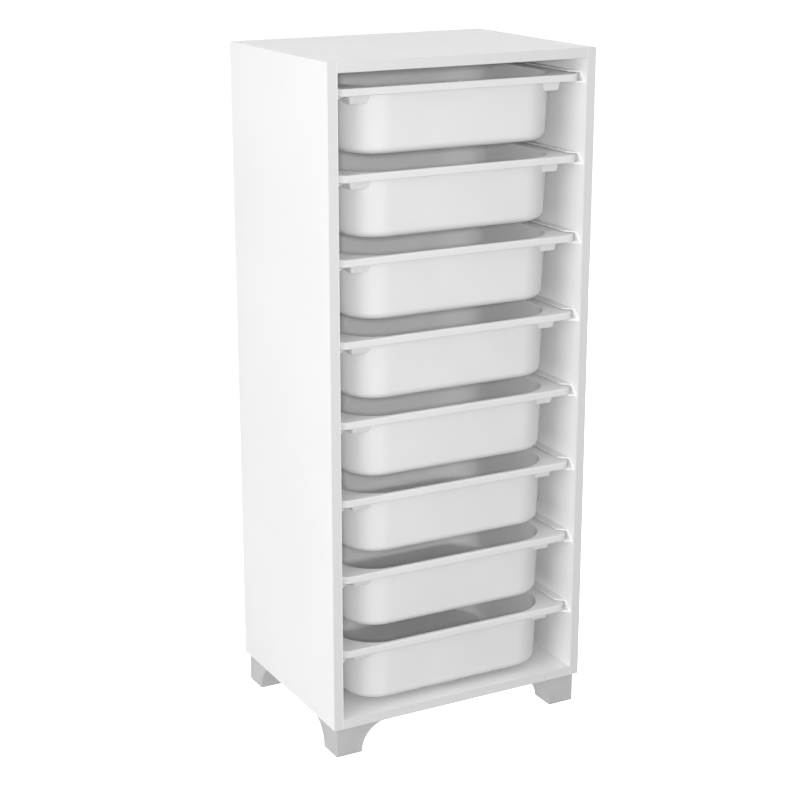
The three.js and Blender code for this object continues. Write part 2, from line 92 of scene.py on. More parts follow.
# Steps and points of the trays' surfaces
SIDE_STEPS = 7
BASE_STEPS, FILLET_STEPS, LIP_STEPS, EDGE_STEPS = 8, 4, 6, 5
LUG_LEG_POINTS, LUG_BEND_POINTS, LUG_NOSE_POINTS = 16, 9, 7

# Rings from the underside up over which the scuffing fades
SCUFFED_RINGS = 9

# Steps and points of the feet's surfaces
FOOT_CORNER_STEPS, FOOT_SIDE_STEPS = 4, 6
FOOT_EASE_POINTS, FOOT_ARCH_POINTS = 4, 22

# Degrees on a foot's arch: where it leaves the round base edge, and two points short of the tip
ARCH_START, ARCH_NEAR, ARCH_CLOSE = 4, 2, 0.4

# Steps of the studio floor
FLOOR_SWEEP_STEPS, FLOOR_SIDES = 16, 96

# Thickness of the boards' edging, and half the width of the painted highlight along its inner
# arris
EDGING_DEPTH, ARRIS_HIGHLIGHT_HALF = 1.1 * MM, 0.7 * MM

# Second tones of the finishes
BOARD_CLOUD = "EDEDED"
# Painted highlight along the inner arris of the side boards' front edging
BOARD_ARRIS_HIGHLIGHT = "E8E8E8"
BACK_FIBRE = "D6D6D6"
TRAY_FLOW = "E2E2E2"
# Painted light: lighter tones inside the trays' mouths, which lift the shade in the trays'
# interiors
TRAY_INSIDE_PAINTED_LIGHT = "ECECEC"
TRAY_INSIDE_FLOW_PAINTED_LIGHT = "E8E8E8"
TRAY_SCUFF = "DADADA"
RUNNER_CLOUD = "E4E4E4"
FOOT_CLOUD = "B7B7B7"
FOOT_DUST = "9E9E9D"
METAL_CLOUD = "A9ADB2"
DOWEL_FLECK = "B98F5E"
FLOOR_CLOUD = "F8F8F8"

# The part of a noise's range that a pattern uses, and the blotches' width at a scale of 1
NOISE_SPAN = {"From Min": 0.3, "From Max": 0.7}
BLOTCH = 0.6

# Sockets of a colour mix
FACTOR, FIRST, SECOND, MIXED = 0, 6, 7, 2

# Soft lights: name, setting that holds the power, place and side length
LIGHTS = (
    ("key_left", "key", (-2.9, -1.2, 1.2), 2.2),
    ("fill_front", "fill", (-1.47, -2.69, 1.434), 0.14),
    ("top_soft", "top", (-0.4, -0.4, 3.4), 2.0),
    ("rear_right", "rear", (2.6, 2.0, 1.0), 1.8),
)

# Width of the camera's sensor in millimetres
SENSOR_WIDTH = 36.0


# Surfaces

def perimeter(corner_steps, side_steps):
    """Directions and corner signs round a rounded rectangle, counter-clockwise.

    A point of the outline is sign * (half size - radius) + radius * direction. In a corner the
    sign stays and the direction turns by a quarter, along a side the direction stays and the sign
    crosses.
    """
    turn = np.linspace(0.0, np.pi / 2, corner_steps + 1)
    spread = np.linspace(SIDE_SPREAD, -SIDE_SPREAD, side_steps)
    cross = np.concatenate([[SIDE_END], spread, [-SIDE_END]])
    share = ((1 + cross) / 2)[:, None]
    directions, signs = [], []
    for quarter, sign in enumerate(np.array(CORNERS, float)):
        angles = quarter * np.pi / 2 + turn
        directions.append(np.stack([np.cos(angles), np.sin(angles)], 1))
        signs.append(np.tile(sign, (len(angles), 1)))
        following = np.array(CORNERS[(quarter + 1) % len(CORNERS)], float)
        signs.append(sign * share + following * (1 - share))
        directions.append(np.tile(directions[-1][-1], (len(cross), 1)))
    return np.concatenate(directions), np.concatenate(signs)


def arc(centre, height, radius, start, end, steps):
    """Points on a circle as offset and height, from a start to an end angle in degrees."""
    angles = np.radians(np.linspace(start, end, steps + 1))
    return np.stack([centre + radius * np.cos(angles), height + radius * np.sin(angles)], 1)


def grid_faces(rows, columns, closed_rows=False):
    """Quads of a grid that closes along its columns, and along its rows where asked."""
    row = np.arange(rows if closed_rows else rows - 1)[:, None]
    column = np.arange(columns)[None, :]
    across, along = (column + 1) % columns, (row + 1) % rows
    quads = [
        row * columns + column, row * columns + across,
        along * columns + across, along * columns + column,
    ]
    return np.stack(quads, -1).reshape(-1, 4)


def tray_rings(size, p):
    """Rings up a tray's skin, from its underside to the floor inside.

    A ring is two half sizes, a corner radius, a height and its side, which is 1 inside the mouth.
    The outer skin rounds up from the floor, leans out with the draft, turns out under the flange
    and down inside the rim, rounds the rim's lower edge, comes up outside it, crosses the flange,
    rounds into the mouth and goes down inside. Each point is an offset from the mouth's or the
    rim's outline and a height.
    """
    height, wall = size[2], p.wall
    foot, inner = p.base_radius, p.base_radius - wall
    under, edge, lip = height - wall, p.rim_edge, wall / 2
    hollow, near, close = p.inner_fillet, p.rim_edge / 2, p.inner_fillet / 2
    skirt = height - p.skirt
    on_wall = [
        np.array([[wall - foot - 2 * near, 0.0]]),
        arc(wall - foot, foot, foot, -90, 0, BASE_STEPS),
        np.array([[wall, foot + near], [wall, height / 2], [wall, under - hollow - close]]),
        arc(wall + hollow, under - hollow, hollow, 180, 90, FILLET_STEPS),
        np.array([[wall + hollow + close, under]]),
    ]
    on_rim = [
        np.array([[-wall - hollow - close, under]]),
        arc(-wall - hollow, under - hollow, hollow, 90, 0, FILLET_STEPS),
        np.array([[-wall, under - hollow - close], [-wall, skirt + lip + near]]),
        arc(-lip, skirt + lip, lip, 180, 360, LIP_STEPS),
        np.array([[0.0, skirt + lip + near], [0.0, height - edge - near]]),
        arc(-edge, height - edge, edge, 0, 90, EDGE_STEPS),
        np.array([[-edge - near, height]]),
    ]
    inside = [
        np.array([[edge + near, height]]),
        arc(edge, height - edge, edge, 90, 180, EDGE_STEPS),
        np.array([[0.0, height - edge - near], [0.0, height / 2], [0.0, wall + inner + near]]),
        arc(-inner, wall + inner, inner, 0, -90, BASE_STEPS),
        np.array([[-inner - 2 * near, wall]]),
    ]
    half = np.array(size[:2]) / 2
    mouth = half - np.array([p.end_flange, p.side_flange])
    rings = []
    for parts, outline, radius, drafted, side in (
        (on_wall, mouth, p.mouth_radius, 1, 0),
        (on_rim, half, p.rim_radius, 0, 0),
        (inside, mouth, p.mouth_radius, 1, 1),
    ):
        offset, level = np.concatenate(parts).T
        offset = offset - drafted * p.draft * (height - level) / height
        rings.append(np.column_stack([
            outline + offset[:, None], radius + offset, level, np.full_like(level, side),
        ]))
    return np.concatenate(rings)


def lug_points(size, p, sign_x, sign_y):
    """A lug as a grid: a slab section carried along an L with a round corner.

    Along the path the lower edge lies at low + r * (1 - sqrt(1 - t * t)), where t runs from 0 to 1
    over the last r of each end, so both lower ends are round. The section goes down one face,
    round and up the other, and each point moves inwards with its depth below the rim's top, which
    leans both faces alike.
    """
    corner = np.array([size[0] / 2 - p.lug_inset, size[1] / 2 - p.lug_setback])
    bend, leg = p.lug_bend, p.lug_leg
    straight = (leg - bend) * np.linspace(0.0, 1.0, LUG_LEG_POINTS) ** 2
    level, outwards = np.zeros_like(straight), np.ones_like(straight)
    turn = np.radians(np.linspace(0, 90, LUG_BEND_POINTS))[1:-1]
    path = np.concatenate([
        np.column_stack([level, straight - leg]),
        np.column_stack([bend * np.cos(turn) - bend, bend * np.sin(turn) - bend]),
        np.column_stack([straight[::-1] - leg, level]),
    ])
    aside = np.concatenate([
        np.column_stack([outwards, level]),
        np.column_stack([np.cos(turn), np.sin(turn)]),
        np.column_stack([level, outwards]),
    ])
    run = np.concatenate([[0.0], np.cumsum(np.linalg.norm(np.diff(path, axis=0), axis=1))])
    to_end = np.minimum(run, run[-1] - run)
    t = np.clip(1 - to_end / p.lug_round, 0, 1)
    low = size[2] - p.skirt - p.lug_drop + p.lug_round * (1 - np.sqrt(1 - t * t))
    high = size[2] - p.wall / 2
    half = p.lug_thickness / 2
    nose = np.radians(np.linspace(0, -180, LUG_NOSE_POINTS))
    across = np.concatenate([[half], half * np.cos(nose), [-half]]) - half
    rise = np.concatenate([[1.0], np.zeros_like(nose), [1.0]])
    droop = np.concatenate([[0.0], half * (1 + np.sin(nose)), [0.0]])
    z = rise * high + (1 - rise) * (low[:, None] + droop)
    offset = across - p.lug_lean * (size[2] - z) / (p.skirt + p.lug_drop)
    plan = corner + path[:, None, :] + offset[:, :, None] * aside[:, None, :]
    points = np.dstack([plan * (sign_x, sign_y), z])
    return points if sign_x * sign_y > 0 else points[:, ::-1]


def tray_mesh(size, p):
    """Points, faces and marks of a tray with its lugs, from the middle of its underside.

    A point of the skin is sign * (half size - radius) + radius * direction at its ring's height.
    The marks are 0 to 1 for each point: handled grows up the rim, scuffed fades from the underside
    up, inside is 1 within the mouth, and all are 0 on the lugs.
    """
    directions, signs = perimeter(p.corner_steps, SIDE_STEPS)
    rings = tray_rings(size, p)
    half, radius, level, side = rings[:, None, :2], rings[:, None, 2:3], rings[:, 3], rings[:, 4]
    plan = signs * (half - radius) + radius * directions
    rows, columns = plan.shape[:2]
    skin = rows * columns
    points = [np.dstack([plan, np.tile(level[:, None], columns)]).reshape(-1, 3)]
    faces = grid_faces(rows, columns).tolist()
    faces.append(list(range(columns))[::-1])
    faces.append(list(range(skin - columns, skin)))
    start = skin
    for corner in CORNERS:
        lug = lug_points(size, p, *corner)
        count, ring = lug.shape[:2]
        faces += (grid_faces(count, ring)[:, ::-1] + start).tolist()
        faces.append((start + np.arange(ring)).tolist())
        faces.append((start + (count - 1) * ring + np.arange(ring))[::-1].tolist())
        points.append(lug.reshape(-1, 3))
        start += count * ring
    by_ring = {
        "handled": np.clip((level - size[2] + p.skirt) / p.skirt, 0, 1),
        "scuffed": np.clip(1 - np.arange(rows) / SCUFFED_RINGS, 0, 1),
        "inside": side,
    }
    marks = {
        key: np.pad(np.repeat(values, columns), (0, start - skin))
        for key, values in by_ring.items()
    }
    return np.concatenate(points), faces, marks


def foot_points(size, p):
    """A foot as a closed grid of rings, measured from its outer lower corner.

    At height z the section is a square with its outer corner fixed and sides of
    base + arch - sqrt(arch ** 2 - z ** 2), up to the thin tip where that is the full top, then of
    the top. The skin closes over the top, down the screw's bore, out into the head's well and back
    across the base.
    """
    top, height = size[0], size[2]
    arch, edge = p.arch, p.edge
    tip = math.degrees(math.acos((p.base + arch - top) / arch))
    ease = np.radians(np.linspace(0, 90, FOOT_EASE_POINTS))
    even = np.linspace(ARCH_START, tip - ARCH_NEAR, FOOT_ARCH_POINTS)
    sweep = np.radians(np.concatenate([even, [tip - ARCH_CLOSE, tip]]))
    above = np.array([arch * math.sin(sweep[-1]) + edge / 4, height - edge / 2, height])
    z = np.concatenate([edge * (1 - np.cos(ease)), arch * np.sin(sweep), above])
    side = np.concatenate([
        p.base + arch - np.sqrt(arch ** 2 - z[:-len(above)] ** 2),
        np.full_like(above, top),
    ])
    shrink = np.zeros_like(z)
    shrink[:len(ease)] = edge * (1 - np.sin(ease))
    shrink[-1] = edge / 2
    directions, signs = perimeter(FOOT_CORNER_STEPS, FOOT_SIDE_STEPS)
    half = (side / 2 - shrink)[:, None, None]
    ring = signs * (half - p.corner) + p.corner * directions
    outer = np.dstack([ring + (side / 2)[:, None, None], np.tile(z[:, None], len(signs))])
    spin = np.arctan2(ring[-1][:, 1], ring[-1][:, 0])
    circle = np.column_stack([np.cos(spin), np.sin(spin)])
    bores = []
    for radius, level in (
        (p.bore, height), (p.bore, p.well_depth), (p.well, p.well_depth), (p.well, edge / 2),
        (p.well + edge / 2, 0.0),
    ):
        bores.append(np.column_stack([p.boss + radius * circle, np.full(len(spin), level)]))
    return np.concatenate([outer, np.stack(bores)])


def floor_grid(p):
    """Points and faces of the studio floor, which sweeps up all round to a wall.

    A point is (r cos a, r sin a, z), where a goes round, and r and z follow the profile: the edge
    of the flat floor, a quarter circle and the wall's top.
    """
    sweep = arc(p.floor, p.sweep, p.sweep, -90, 0, FLOOR_SWEEP_STEPS)
    profile = np.concatenate([sweep, [[p.floor + p.sweep, p.wall]]])
    around = np.linspace(0, 2 * np.pi, FLOOR_SIDES, endpoint=False)
    plan = profile[:, None, :1] * np.column_stack([np.cos(around), np.sin(around)])
    rows, columns = plan.shape[:2]
    points = np.dstack([plan, np.tile(profile[:, 1:], columns)]).reshape(-1, 3)
    return points, [list(range(columns)), *grid_faces(rows, columns)[:, ::-1].tolist()]


def new_object(name, points, faces, material):
    """A mesh object with smooth faces and one material."""
    mesh = bpy.data.meshes.new(name)
    mesh.from_pydata(points, [], faces)
    mesh.polygons.foreach_set("use_smooth", np.ones(len(mesh.polygons), bool))
    mesh.materials.append(material)
    mesh.validate()
    made = bpy.data.objects.new(name, mesh)
    bpy.context.scene.collection.objects.link(made)
    return made


def new_piece(name, points, faces, material, body, marks=None):
    """An object that rides on a body, with the marks that its material reads."""
    piece = new_object(name, points, faces, material)
    for key, values in (marks or {}).items():
        layer = piece.data.attributes.new(key, "FLOAT", "POINT")
        layer.data.foreach_set("value", values.astype(np.float32))
    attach(piece, body)
    return piece


# Finishes

def to_linear(colour):
    """An sRGB hex colour such as F2F2F2 as linear RGBA."""
    parts = np.array([int(colour[i:i + 2], 16) for i in (0, 2, 4)]) / 255
    linear = np.where(parts <= 0.04045, parts / 12.92, ((parts + 0.055) / 1.055) ** 2.4)
    return (*linear.tolist(), 1.0)


def per(size):
    """The scale of a noise whose blotches are about a size in metres across."""
    return BLOTCH / size


def add_node(tree, kind, inputs=None, **settings):
    """Adds a node with its settings; an input is a value, or a node and one of its outputs."""
    node = tree.nodes.new(kind)
    for key, value in settings.items():
        setattr(node, key, value)
    for key, value in (inputs or {}).items():
        if isinstance(value, tuple) and isinstance(value[0], bpy.types.Node):
            tree.links.new(value[0].outputs[value[1]], node.inputs[key])
        else:
            node.inputs[key].default_value = value
    return node


def start_material(name):
    """An empty node material and the object coordinates that its patterns read."""
    material = bpy.data.materials.new(name)
    material.use_nodes = True
    tree = material.node_tree
    tree.nodes.clear()
    return material, tree, (add_node(tree, "ShaderNodeTexCoord"), "Object")


def white_laminate(colour, edging):
    """Melamine laminate on chipboard with plastic edging: a faint pressed pearl grain with a soft
    sheen, and a slightly greyer band along the front edge with a painted highlight, a lighter line
    where it meets the inside of the unit, for light caught by its rounded arris. The pearls are a
    third of a millimetre on the real board and are drawn ten times as coarse, and the line is
    drawn twice as wide, so that they show."""
    material, tree, place = start_material("white melamine laminate, satin")
    drift = add_node(tree, "ShaderNodeTexNoise", {
        "Vector": place, "Scale": per(160 * MM), "Detail": 2.0,
    })
    pearl = add_node(tree, "ShaderNodeTexNoise", {
        "Vector": place, "Scale": per(3 * MM), "Detail": 1.0,
    })
    patch = add_node(tree, "ShaderNodeTexNoise", {
        "Vector": place, "Scale": per(22 * MM), "Detail": 2.0,
    })
    share = add_node(tree, "ShaderNodeMapRange", {"Value": (drift, "Fac"), **NOISE_SPAN})
    face = add_node(tree, "ShaderNodeMix", {
        FACTOR: (share, "Result"), FIRST: to_linear(colour), SECOND: to_linear(BOARD_CLOUD),
    }, data_type="RGBA")
    axes = add_node(tree, "ShaderNodeSeparateXYZ", {"Vector": place})
    band = add_node(tree, "ShaderNodeMath", {
        0: (axes, "Y"), 1: FRONT + EDGING_DEPTH,
    }, operation="LESS_THAN")
    banded = add_node(tree, "ShaderNodeMix", {
        FACTOR: (band, "Value"), FIRST: (face, MIXED), SECOND: to_linear(edging),
    }, data_type="RGBA")
    # Painted highlight: a lighter line on the side boards' front edging where it meets the inside
    # of the unit, standing in for light caught by the rounded arris
    across = add_node(tree, "ShaderNodeMath", {0: (axes, "X")}, operation="ABSOLUTE")
    highlight_line = add_node(tree, "ShaderNodeMath", {
        0: (across, "Value"), 1: INNER + ARRIS_HIGHLIGHT_HALF, 2: ARRIS_HIGHLIGHT_HALF,
    }, operation="COMPARE")
    painted_highlight = add_node(tree, "ShaderNodeMath", {
        0: (highlight_line, "Value"), 1: (band, "Value"),
    }, operation="MULTIPLY")
    edged = add_node(tree, "ShaderNodeMix", {
        FACTOR: (painted_highlight, "Value"), FIRST: (banded, MIXED), SECOND: to_linear(BOARD_ARRIS_HIGHLIGHT),
    }, data_type="RGBA")
    gloss = add_node(tree, "ShaderNodeMapRange", {
        "Value": (patch, "Fac"), **NOISE_SPAN, "To Min": 0.4, "To Max": 0.48,
    })
    relief = add_node(tree, "ShaderNodeBump", {
        "Height": (pearl, "Fac"), "Strength": 0.1, "Distance": 0.05 * MM,
    })
    shader = add_node(tree, "ShaderNodeBsdfPrincipled", {
        "Base Color": (edged, MIXED), "Roughness": (gloss, "Result"),
        "Normal": (relief, "Normal"), "IOR": 1.5,
    })
    add_node(tree, "ShaderNodeOutputMaterial", {"Surface": (shader, "BSDF")})
    return material


def painted_fibreboard(colour):
    """Thin painted fibreboard: matt, with short fibres that show through the paint. The fibres are
    half a millimetre wide on the real sheet and are drawn wider, so that they show."""
    material, tree, place = start_material("white painted fibreboard, matt")
    upright = add_node(tree, "ShaderNodeMapping", {"Vector": place, "Scale": (1.0, 1.0, 0.3)})
    fibre = add_node(tree, "ShaderNodeTexNoise", {
        "Vector": (upright, "Vector"), "Scale": per(3 * MM), "Detail": 4.0,
    })
    share = add_node(tree, "ShaderNodeMapRange", {"Value": (fibre, "Fac"), **NOISE_SPAN})
    face = add_node(tree, "ShaderNodeMix", {
        FACTOR: (share, "Result"), FIRST: to_linear(colour), SECOND: to_linear(BACK_FIBRE),
    }, data_type="RGBA")
    relief = add_node(tree, "ShaderNodeBump", {
        "Height": (fibre, "Fac"), "Strength": 0.2, "Distance": 0.1 * MM,
    })
    shader = add_node(tree, "ShaderNodeBsdfPrincipled", {
        "Base Color": (face, MIXED), "Roughness": 0.75, "Normal": (relief, "Normal"), "IOR": 1.5,
    })
    add_node(tree, "ShaderNodeOutputMaterial", {"Surface": (shader, "BSDF")})
    return material


def moulded_polypropylene(colour):
    """Injection-moulded polypropylene: a waxy white with a fine spark-eroded grain, painted
    lighter inside the mouth to lift the shade there, polished by hands along the rim and scuffed
    on the underside. The grain is a fifth of a millimetre on the real tray and is drawn coarser,
    so that it shows."""
    material, tree, place = start_material("white polypropylene, moulded")
    flow = add_node(tree, "ShaderNodeTexNoise", {
        "Vector": place, "Scale": per(70 * MM), "Detail": 3.0,
    })
    grain = add_node(tree, "ShaderNodeTexNoise", {
        "Vector": place, "Scale": per(2.4 * MM), "Detail": 1.0,
    })
    scuff = add_node(tree, "ShaderNodeTexNoise", {
        "Vector": place, "Scale": per(4 * MM), "Detail": 5.0,
    })
    handled = add_node(tree, "ShaderNodeAttribute", attribute_name="handled")
    worn = add_node(tree, "ShaderNodeAttribute", attribute_name="scuffed")
    inside = add_node(tree, "ShaderNodeAttribute", attribute_name="inside")
    share = add_node(tree, "ShaderNodeMapRange", {"Value": (flow, "Fac"), **NOISE_SPAN})
    face = add_node(tree, "ShaderNodeMix", {
        FACTOR: (share, "Result"), FIRST: to_linear(colour), SECOND: to_linear(TRAY_FLOW),
    }, data_type="RGBA")
    # Painted light: inside the mouth the same plastic gets a lighter tone, which lifts the shade
    # in the trays' interiors
    inside_painted_light = add_node(tree, "ShaderNodeMix", {
        FACTOR: (share, "Result"),
        FIRST: to_linear(TRAY_INSIDE_PAINTED_LIGHT), SECOND: to_linear(TRAY_INSIDE_FLOW_PAINTED_LIGHT),
    }, data_type="RGBA")
    both = add_node(tree, "ShaderNodeMix", {
        FACTOR: (inside, "Fac"), FIRST: (face, MIXED), SECOND: (inside_painted_light, MIXED),
    }, data_type="RGBA")
    scratch = add_node(tree, "ShaderNodeMapRange", {
        "Value": (scuff, "Fac"), **NOISE_SPAN, "To Max": 0.35,
    })
    marks = add_node(tree, "ShaderNodeMath", {
        0: (scratch, "Result"), 1: (worn, "Fac"),
    }, operation="MULTIPLY")
    marked = add_node(tree, "ShaderNodeMix", {
        FACTOR: (marks, "Value"), FIRST: (both, MIXED), SECOND: to_linear(TRAY_SCUFF),
    }, data_type="RGBA")
    matt = add_node(tree, "ShaderNodeMapRange", {
        "Value": (flow, "Fac"), **NOISE_SPAN, "To Min": 0.56, "To Max": 0.64,
    })
    gloss = add_node(tree, "ShaderNodeMath", {
        0: (handled, "Fac"), 1: -0.1, 2: (matt, "Result"),
    }, operation="MULTIPLY_ADD")
    relief = add_node(tree, "ShaderNodeBump", {
        "Height": (grain, "Fac"), "Strength": 0.12, "Distance": 0.04 * MM,
    })
    shader = add_node(tree, "ShaderNodeBsdfPrincipled", {
        "Base Color": (marked, MIXED), "Roughness": (gloss, "Value"),
        "Normal": (relief, "Normal"), "IOR": 1.49, "Specular IOR Level": 0.35,
    })
    add_node(tree, "ShaderNodeOutputMaterial", {"Surface": (shader, "BSDF")})
    return material


def moulded_nylon(colour):
    """Moulded nylon: an even, slightly waxy white, rubbed smoother in faint streaks along the
    slide. The streaks are drawn wider than the scratches on a real runner, so that they show."""
    material, tree, place = start_material("white nylon, moulded")
    along = add_node(tree, "ShaderNodeMapping", {"Vector": place, "Scale": (1.0, 0.04, 1.0)})
    streak = add_node(tree, "ShaderNodeTexNoise", {
        "Vector": (along, "Vector"), "Scale": per(2 * MM), "Detail": 2.0,
    })
    cloud = add_node(tree, "ShaderNodeTexNoise", {
        "Vector": place, "Scale": per(30 * MM), "Detail": 2.0,
    })
    share = add_node(tree, "ShaderNodeMapRange", {"Value": (cloud, "Fac"), **NOISE_SPAN})
    face = add_node(tree, "ShaderNodeMix", {
        FACTOR: (share, "Result"), FIRST: to_linear(colour), SECOND: to_linear(RUNNER_CLOUD),
    }, data_type="RGBA")
    gloss = add_node(tree, "ShaderNodeMapRange", {
        "Value": (streak, "Fac"), **NOISE_SPAN, "To Min": 0.38, "To Max": 0.52,
    })
    shader = add_node(tree, "ShaderNodeBsdfPrincipled", {
        "Base Color": (face, MIXED), "Roughness": (gloss, "Result"), "IOR": 1.53,
    })
    add_node(tree, "ShaderNodeOutputMaterial", {"Surface": (shader, "BSDF")})
    return material


def moulded_abs(colour):
    """Moulded ABS in light grey: an even grain with a satin sheen, a little darker with floor dust
    at the base. The grain is a quarter of a millimetre on the real foot and is drawn coarser, so
    that it shows."""
    material, tree, place = start_material("light grey ABS, moulded")
    grain = add_node(tree, "ShaderNodeTexNoise", {
        "Vector": place, "Scale": per(2.2 * MM), "Detail": 1.0,
    })
    cloud = add_node(tree, "ShaderNodeTexNoise", {
        "Vector": place, "Scale": per(14 * MM), "Detail": 3.0,
    })
    axes = add_node(tree, "ShaderNodeSeparateXYZ", {"Vector": place})
    low = add_node(tree, "ShaderNodeMapRange", {
        "Value": (axes, "Z"), "From Min": 0.0, "From Max": 9 * MM, "To Min": 0.5, "To Max": 0.0,
    })
    dust = add_node(tree, "ShaderNodeMath", {
        0: (low, "Result"), 1: (cloud, "Fac"),
    }, operation="MULTIPLY")
    share = add_node(tree, "ShaderNodeMapRange", {"Value": (cloud, "Fac"), **NOISE_SPAN})
    face = add_node(tree, "ShaderNodeMix", {
        FACTOR: (share, "Result"), FIRST: to_linear(colour), SECOND: to_linear(FOOT_CLOUD),
    }, data_type="RGBA")
    dusty = add_node(tree, "ShaderNodeMix", {
        FACTOR: (dust, "Value"), FIRST: (face, MIXED), SECOND: to_linear(FOOT_DUST),
    }, data_type="RGBA")
    gloss = add_node(tree, "ShaderNodeMapRange", {
        "Value": (cloud, "Fac"), **NOISE_SPAN, "To Min": 0.42, "To Max": 0.52,
    })
    relief = add_node(tree, "ShaderNodeBump", {
        "Height": (grain, "Fac"), "Strength": 0.15, "Distance": 0.05 * MM,
    })
    shader = add_node(tree, "ShaderNodeBsdfPrincipled", {
        "Base Color": (dusty, MIXED), "Roughness": (gloss, "Result"),
        "Normal": (relief, "Normal"), "IOR": 1.53,
    })
    add_node(tree, "ShaderNodeOutputMaterial", {"Surface": (shader, "BSDF")})
    return material


def zinc_plate(colour):
    """Zinc-plated steel: a cool bright metal with cloudy patches from the bath."""
    material, tree, place = start_material("zinc-plated steel")
    cloud = add_node(tree, "ShaderNodeTexNoise", {
        "Vector": place, "Scale": per(3 * MM), "Detail": 3.0,
    })
    share = add_node(tree, "ShaderNodeMapRange", {"Value": (cloud, "Fac"), **NOISE_SPAN})
    face = add_node(tree, "ShaderNodeMix", {
        FACTOR: (share, "Result"), FIRST: to_linear(colour), SECOND: to_linear(METAL_CLOUD),
    }, data_type="RGBA")
    gloss = add_node(tree, "ShaderNodeMapRange", {
        "Value": (cloud, "Fac"), **NOISE_SPAN, "To Min": 0.28, "To Max": 0.42,
    })
    shader = add_node(tree, "ShaderNodeBsdfPrincipled", {
        "Base Color": (face, MIXED), "Roughness": (gloss, "Result"), "Metallic": 1.0,
    })
    add_node(tree, "ShaderNodeOutputMaterial", {"Surface": (shader, "BSDF")})
    return material


def turned_beech(colour):
    """Raw beech: pale wood with short darker flecks along the dowel."""
    material, tree, place = start_material("raw beech, turned")
    along = add_node(tree, "ShaderNodeMapping", {"Vector": place, "Scale": (0.12, 1.0, 1.0)})
    fleck = add_node(tree, "ShaderNodeTexNoise", {
        "Vector": (along, "Vector"), "Scale": per(0.9 * MM), "Detail": 4.0,
    })
    share = add_node(tree, "ShaderNodeMapRange", {"Value": (fleck, "Fac"), **NOISE_SPAN})
    face = add_node(tree, "ShaderNodeMix", {
        FACTOR: (share, "Result"), FIRST: to_linear(colour), SECOND: to_linear(DOWEL_FLECK),
    }, data_type="RGBA")
    shader = add_node(tree, "ShaderNodeBsdfPrincipled", {
        "Base Color": (face, MIXED), "Roughness": 0.7, "IOR": 1.5,
    })
    add_node(tree, "ShaderNodeOutputMaterial", {"Surface": (shader, "BSDF")})
    return material


def studio_paper(colour, glow):
    """Seamless studio paper, lit from behind so that it stays near white: matt, with a faint
    unevenness."""
    material, tree, place = start_material("pale studio paper")
    cloud = add_node(tree, "ShaderNodeTexNoise", {
        "Vector": place, "Scale": per(500 * MM), "Detail": 2.0,
    })
    share = add_node(tree, "ShaderNodeMapRange", {"Value": (cloud, "Fac"), **NOISE_SPAN})
    face = add_node(tree, "ShaderNodeMix", {
        FACTOR: (share, "Result"), FIRST: to_linear(colour), SECOND: to_linear(FLOOR_CLOUD),
    }, data_type="RGBA")
    shader = add_node(tree, "ShaderNodeBsdfPrincipled", {
        "Base Color": (face, MIXED), "Emission Color": (face, MIXED), "Emission Strength": glow,
        "Roughness": 0.9, "Specular IOR Level": 0.0,
    })
    add_node(tree, "ShaderNodeOutputMaterial", {"Surface": (shader, "BSDF")})
    return material


def dress(names, material):
    """Gives CAD nodes a finish."""
    for name in names:
        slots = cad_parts[name].data.materials
        slots.clear()
        slots.append(material)


# Settings

def length(name, description, default):
    """A size in metres."""
    return FloatProperty(
        name=name, description=description, default=default, min=0.0,
        unit="LENGTH", subtype="DISTANCE",
    )


def angle(name, description, degrees):
    """An angle, its default given in degrees."""
    return FloatProperty(
        name=name, description=description, default=math.radians(degrees),
        unit="ROTATION", subtype="ANGLE",
    )


def power(name, description, default):
    """The power of a light in watts."""
    return FloatProperty(
        name=name, description=description, default=default, min=0.0, unit="POWER",
    )


def hex_colour(name, description, default):
    """An sRGB colour written as six hex digits."""
    return StringProperty(name=name, description=description, default=default, maxlen=6)


class TrayUnitTrays(bpy.types.PropertyGroup):
    """Sizes of the moulded trays."""

    wall: length("Wall", "Thickness of the moulding", 2.2 * MM)
    skirt: length("Rim height", "Height of the turned-down rim", 11.5 * MM)
    rim_edge: length("Edge round", "Radius of the rim's and the mouth's upper edges", 2.2 * MM)
    rim_radius: length("Rim corner", "Corner radius of the rim's outline", 16 * MM)
    mouth_radius: length("Mouth corner", "Corner radius of the mouth's outline", 60 * MM)
    end_flange: length("End flange", "Width of the flange at the two ends", 30 * MM)
    side_flange: length("Front flange", "Width of the flange in front and at the back", 9 * MM)
    draft: length("Draft", "How far a wall leans in from the mouth to the floor", 5 * MM)
    base_radius: length("Base round", "Radius between wall and floor, outside", 12 * MM)
    inner_fillet: length("Inner fillet", "Radius of the inside corners under the flange", 1.2 * MM)
    lug_inset: length("Lug inset", "From the rim's end to a lug's outer face", 23 * MM)
    lug_setback: length("Lug setback", "From the rim's front to a lug's front face", 12 * MM)
    lug_leg: length("Lug leg", "Length of each leg of a lug", 37 * MM)
    lug_bend: length("Lug corner", "Radius of the corner between a lug's legs", 9 * MM)
    lug_drop: length("Lug drop", "How far a lug hangs below the rim", 14.5 * MM)
    lug_lean: length("Lug lean", "How far a lug's faces lean in from top to bottom", 6 * MM)
    lug_round: length("Lug end", "Radius of a lug's lower ends", 8 * MM)
    lug_thickness: length("Lug thickness", "Thickness of a lug's legs", 3 * MM)
    corner_steps: IntProperty(
        name="Corner steps", description="Steps round each corner", default=18, min=4, max=48,
    )


class TrayUnitFeet(bpy.types.PropertyGroup):
    """Sizes of the moulded feet."""

    base: length("Base", "Side of the square base", 46 * MM)
    arch: length("Arch", "Radius of the arch between base and tip", 48 * MM)
    edge: length("Edge round", "Radius of the base's edge", 1.2 * MM)
    corner: length("Corner round", "Radius of the upright corners", 1.6 * MM)
    boss: length("Screw place", "From the outer faces to the screw", 25 * MM)
    bore: length("Bore", "Radius of the screw's bore", 2.3 * MM)
    well: length("Well", "Radius of the well for the screw's head", 4.8 * MM)
    well_depth: length("Well depth", "Depth of the well for the screw's head", 8 * MM)


